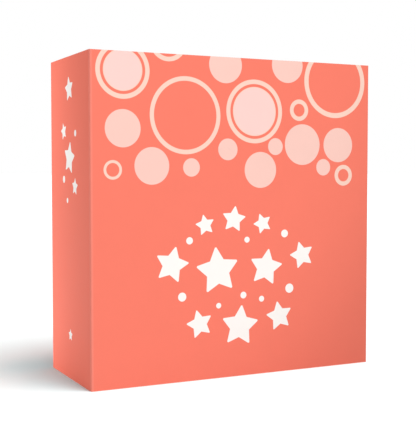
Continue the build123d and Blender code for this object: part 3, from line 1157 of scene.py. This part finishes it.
class TOOTHBOX_OT_jar(bpy.types.Operator):
    """Glass jar, its thread and its aluminium cap"""

    bl_idname = "tooth_box.jar"
    bl_label = "Jar"

    def execute(self, context):
        glass = clear_glass()
        silver = (0.80, 0.80, 0.81)
        aluminium = metal("Brushed aluminium", silver, roughness=0.25, scratch=(0.4, 6.0, 6.0))
        wear("keepsake_jar", glass)
        wear("jar_cap", aluminium)
        thread = finish_mesh(neck_thread(), "neck_thread", glass)
        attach(thread, CASE)
        return {"FINISHED"}


def aim(made, target):
    """Turn a light or a camera towards a point."""
    made.rotation_euler = (Vector(target) - made.location).to_track_quat("-Z", "Y").to_euler()


def hang(light, place, target, receivers=None):
    """Place a light, aim it and say which pieces it lights, where that isn't everything."""
    made = bpy.data.objects.new(light.name, light)
    made.location = place
    made.visible_camera = False
    made.visible_glossy = receivers is None
    made.light_linking.receiver_collection = receivers
    bpy.context.scene.collection.objects.link(made)
    aim(made, target)


def soft_box(name, place, target, size, power, receivers):
    """A rectangular area light."""
    light = bpy.data.lights.new(name, "AREA")
    light.shape = "RECTANGLE"
    light.size, light.size_y = size
    light.energy = power
    hang(light, place, target, receivers)


def spot(name, place, target, reach, blend, power, receivers):
    """A round spot that fades towards its edge. Its reach is the radius that it lights."""
    lamp_radius = 0.03
    light = bpy.data.lights.new(name, "SPOT")
    light.energy = power
    light.spot_size = 2 * math.atan(reach / (Vector(target) - Vector(place)).length)
    light.spot_blend = blend
    light.shadow_soft_size = lamp_radius
    hang(light, place, target, receivers)


def far_light(name, place, strength, spread, receivers=None):
    """A light so far away that it is even everywhere. Its spread, in degrees, softens the shadow."""
    light = bpy.data.lights.new(name, "SUN")
    light.energy = strength
    light.angle = math.radians(spread)
    hang(light, place, (0, 0, 0), receivers)


def group_of(name, members):
    """A collection that a light can be tied to."""
    made = bpy.data.collections.new(name)
    for member in members:
        made.objects.link(member)
    return made


def surroundings(strength):
    """An even white world, full white where the camera sees it."""
    world = bpy.data.worlds.new("White surroundings")
    world.use_nodes = True
    tree = world.node_tree
    tree.nodes.clear()
    white = rgba((1, 1, 1))
    seen = put(tree, "ShaderNodeBackground", {"Color": white, "Strength": 1.0}).outputs[0]
    lit = put(tree, "ShaderNodeBackground", {"Color": white, "Strength": strength}).outputs[0]
    camera_ray = put(tree, "ShaderNodeLightPath").outputs["Is Camera Ray"]
    both = put(tree, "ShaderNodeMixShader", {0: camera_ray, 1: lit, 2: seen}).outputs[0]
    put(tree, "ShaderNodeOutputWorld", {"Surface": both})
    bpy.context.scene.world = world


def pale_floor(radius):
    """A wide round floor. Seen directly, blue-green by the spine keeps the coral's glow off it."""
    by_spine, seen, bounced = (0.66, 0.90, 0.93), (0.835, 0.90, 0.90), (0.7, 0.7, 0.7)
    middle, half_run, reach = 14.0, 16.0, 45.0
    cloud_shade, ground_shade = 0.02, 0.98
    bm = bmesh.new()
    bmesh.ops.create_circle(bm, cap_ends=True, cap_tris=True, segments=96, radius=radius)
    material, tree, shader, place = new_material("Pale floor", Roughness=0.9, Specular_IOR_Level=0.1)
    tone = calc(tree, "MULTIPLY_ADD", noise(tree, place, scale=0.004), cloud_shade, ground_shade)
    camera_ray = put(tree, "ShaderNodeLightPath").outputs["Is Camera Ray"]
    x, y, _ = split(tree, place)
    beside = calc(tree, "SUBTRACT", x, LEFT / MM)
    along = calc(tree, "ABSOLUTE", calc(tree, "SUBTRACT", y, middle))
    beyond = calc(tree, "MAXIMUM", calc(tree, "SUBTRACT", along, half_run), 0.0)
    away = ramp(tree, move(tree, "LENGTH", join(tree, beside, beyond, 0.0)), low=0.0, high=reach)
    tint = mix(tree, away, rgba(by_spine), rgba(seen))
    colour = mix(tree, camera_ray, rgba(bounced), tint)
    feed(tree, shader, {"Base Color": shaded(tree, colour, tone)})
    made = finish_mesh(bm, "pale_floor", material, smooth=False)
    if made.data.polygons[0].normal.z < 0:
        made.data.flip_normals()
    return made


class TOOTHBOX_OT_stage(bpy.types.Operator):
    """Set up the floor, the lights and the camera"""

    bl_idname = "tooth_box.stage"
    bl_label = "Stage"

    def execute(self, context):
        stage = settings()[2]
        scene = context.scene
        scene.view_settings.view_transform = "Standard"
        surroundings(stage.daylight)
        pieces = group_of("Box pieces", [made for made in scene.objects if made.type == "MESH"])
        floor = group_of("Floor", [pale_floor(stage.floor_radius)])
        far_light("Shadow light", place=(0.25, -0.36, 0.9), strength=stage.shadow_light, spread=38)
        far_light(
            "Floor light", place=(0, 0, 1), strength=stage.floor_light, spread=60, receivers=floor
        )
        spot(
            "Front light", place=(-0.15, -0.75, 0.35), target=(-0.12, FRONT, 0.2),
            reach=0.267, blend=0.47, power=10, receivers=pieces,
        )
        for name, height, length, power in (
            ("Spine head light", 0.15, 0.1, 0.102),
            ("Spine tail light", 0.006, 0.012, 0.095),
        ):
            soft_box(
                name, place=(-0.16, 0.085, height), target=(LEFT, BACK, height),
                size=(0.02, length), power=power, receivers=pieces,
            )
        soft_box(
            "Back light", place=(0.5, 0.8, 0.5), target=(0, BACK, 0.08),
            size=(0.5, 0.5), power=4, receivers=pieces,
        )
        camera = bpy.data.cameras.new("Camera")
        camera.lens = stage.lens
        camera.sensor_width = 36
        camera.clip_start, camera.clip_end = 0.01, 100
        viewer = bpy.data.objects.new("Camera", camera)
        viewer.location = stage.camera_place
        level = math.cos(stage.camera_drop)
        looking = Vector((
            math.sin(stage.camera_turn) * level,
            math.cos(stage.camera_turn) * level,
            -math.sin(stage.camera_drop),
        ))
        scene.collection.objects.link(viewer)
        aim(viewer, viewer.location + looking)
        scene.camera = viewer
        return {"FINISHED"}


OPERATORS = (
    TOOTHBOX_OT_paper,
    TOOTHBOX_OT_boards,
    TOOTHBOX_OT_creases,
    TOOTHBOX_OT_closure,
    TOOTHBOX_OT_tray,
    TOOTHBOX_OT_foam,
    TOOTHBOX_OT_pad,
    TOOTHBOX_OT_jar,
    TOOTHBOX_OT_stage,
)


class TOOTHBOX_PT_panel(bpy.types.Panel):
    """Buttons for each group of pieces"""

    bl_idname = "TOOTHBOX_PT_panel"
    bl_label = "Baby tooth box"
    bl_space_type = "VIEW_3D"
    bl_region_type = "UI"
    bl_category = "Tooth box"

    def draw(self, context):
        for operator in OPERATORS:
            self.layout.operator(operator.bl_idname)


CLASSES = (ToothBoxPrint, ToothBoxInside, ToothBoxStage, *OPERATORS, TOOTHBOX_PT_panel)


def register():
    for cls in CLASSES:
        bpy.utils.register_class(cls)
    bpy.types.Scene.tooth_box_print = PointerProperty(type=ToothBoxPrint)
    bpy.types.Scene.tooth_box_inside = PointerProperty(type=ToothBoxInside)
    bpy.types.Scene.tooth_box_stage = PointerProperty(type=ToothBoxStage)


def unregister():
    del bpy.types.Scene.tooth_box_print
    del bpy.types.Scene.tooth_box_inside
    del bpy.types.Scene.tooth_box_stage
    for cls in reversed(CLASSES):
        bpy.utils.unregister_class(cls)


def main():
    register()
    for operator in OPERATORS:
        group, name = operator.bl_idname.split(".")
        getattr(getattr(bpy.ops, group), name)()


if __name__ == "__main__":
    main()
